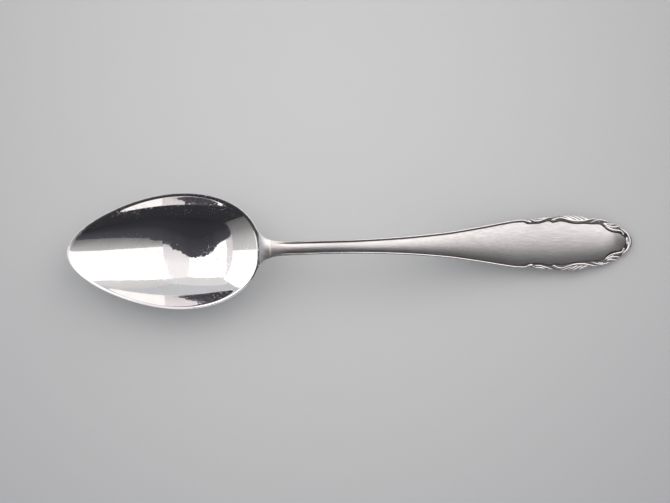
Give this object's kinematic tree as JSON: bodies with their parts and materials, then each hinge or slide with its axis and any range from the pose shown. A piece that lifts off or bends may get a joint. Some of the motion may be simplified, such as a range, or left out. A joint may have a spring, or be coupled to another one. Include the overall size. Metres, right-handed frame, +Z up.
{
  "type": "teaspoon",
  "caption": "Silver teaspoon with a polished egg-shaped bowl soldered to a slim threaded handle that broadens to a border of scrolls and leaves.",
  "frame": {"origin": "under the middle of the spoon, on the table that it lies on", "axes": "+X from the point of the bowl to the end of the handle, +Z up out of the bowl"},
  "size_m": [0.14, 0.0286, 0.013],
  "materials": {
    "polished_silver": "mirror polished silver with fine scratches",
    "satin_silver": "satin silver, brushed lengthwise",
    "silver_solder": "silver solder, slightly warmer than the metal round it",
    "burnished_relief": "burnished silver relief with dark tarnish in its hollows"
  },
  "bodies": {
    "root": {"bowl": "polished_silver", "handle": "satin_silver", "solder_seam": "silver_solder", "left_thread": "burnished_relief", "right_thread": "burnished_relief", "left_scroll": "burnished_relief", "right_scroll": "burnished_relief", "left_leaf_spray": "burnished_relief", "right_leaf_spray": "burnished_relief", "left_link_scroll": "burnished_relief", "right_link_scroll": "burnished_relief", "left_tip_leaf": "burnished_relief", "right_tip_leaf": "burnished_relief", "tip_crest": "burnished_relief"}
  },
  "joints": []
}
